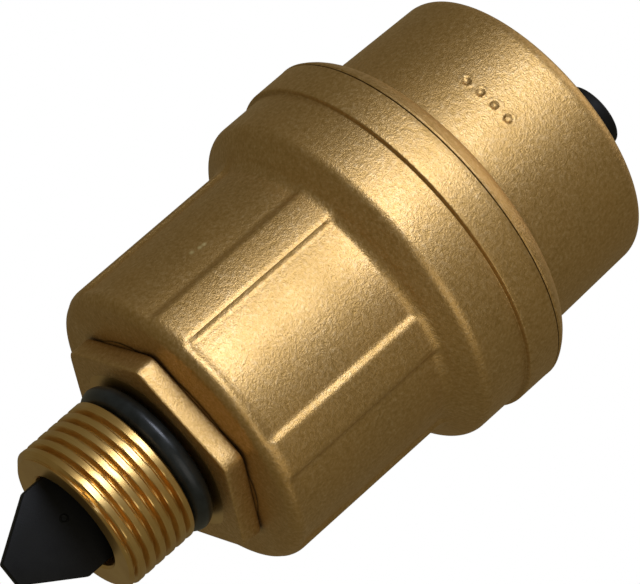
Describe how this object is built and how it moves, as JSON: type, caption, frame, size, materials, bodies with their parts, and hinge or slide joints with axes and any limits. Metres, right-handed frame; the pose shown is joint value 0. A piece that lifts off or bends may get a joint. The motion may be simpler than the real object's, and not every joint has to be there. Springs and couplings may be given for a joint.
{
  "type": "automatic air vent",
  "caption": "Float-operated automatic air vent of forged brass, with a 3/8 inch male thread, a hexagon, a ribbed barrel, a screwed cover and a small off-centre plastic knob.",
  "frame": {"origin": "centre of the inlet's end face, on the thread's axis", "axes": "+Z along the main axis from the inlet to the outlet; +X towards the off-centre knob; a hexagon flat faces -Y"},
  "size_m": [0.0398, 0.0398, 0.0774],
  "materials": {
    "forged_brass": "sand-blasted forged brass, satin",
    "turned_brass": "turned brass, bright",
    "black_rubber": "moulded rubber, lightly greased",
    "black_plastic": "moulded plastic, fine grain",
    "white_plastic": "natural moulded plastic",
    "steel": "stainless steel, drawn and stamped"
  },
  "bodies": {
    "housing": {"body": "forged_brass", "cover": "forged_brass", "cover_oring": "black_rubber", "inlet_oring": "black_rubber", "water_blade": "black_plastic", "valve_carrier": "white_plastic", "nozzle": "turned_brass", "nozzle_oring": "black_rubber", "lever_pin": "steel", "pin_clip": "steel", "valve_spring": "steel"},
    "float": {"float_shell": "white_plastic", "float_lid": "white_plastic", "float_pin": "steel"},
    "lever": {"lever": "steel"},
    "valve": {"valve_stem": "turned_brass", "valve_seal": "black_rubber", "valve_pin": "steel"},
    "cap_disc": {"cap_seal": "black_rubber"},
    "knob": {"vent_cap": "black_plastic"}
  },
  "joints": [
    {"name": "float_rise", "type": "slide", "parent": "housing", "child": "float", "axis": [0, 0, 1], "range_m": [0, 0.004]},
    {"name": "lever_pivot", "type": "hinge", "parent": "housing", "child": "lever", "pos_m": [0.0071, 0, 0.051], "axis": [0, 1, 0], "range_deg": [0, 19.45]},
    {"name": "valve_slide", "type": "slide", "parent": "housing", "child": "valve", "axis": [0, 0, 1], "range_m": [0, 0.00122], "stiffness_N_per_m": 20, "springref_m": -0.002, "deforming": ["valve_spring"]},
    {"name": "knob_lift", "type": "slide", "parent": "housing", "child": "cap_disc", "axis": [0, 0, 1], "range_m": [0, 0.001]},
    {"name": "knob_turn", "type": "hinge", "parent": "cap_disc", "child": "knob", "pos_m": [0.0035, 0, 0.0633], "axis": [0, 0, 1], "range_deg": [0, 450.5]}
  ],
  "couplings": [
    {"joint": "lever_pivot", "follows": "float_rise", "rad_per_m": 84.434},
    {"joint": "valve_slide", "follows": "float_rise", "ratio": 0.30252},
    {"joint": "knob_turn", "follows": "knob_lift", "rad_per_m": 7854}
  ]
}
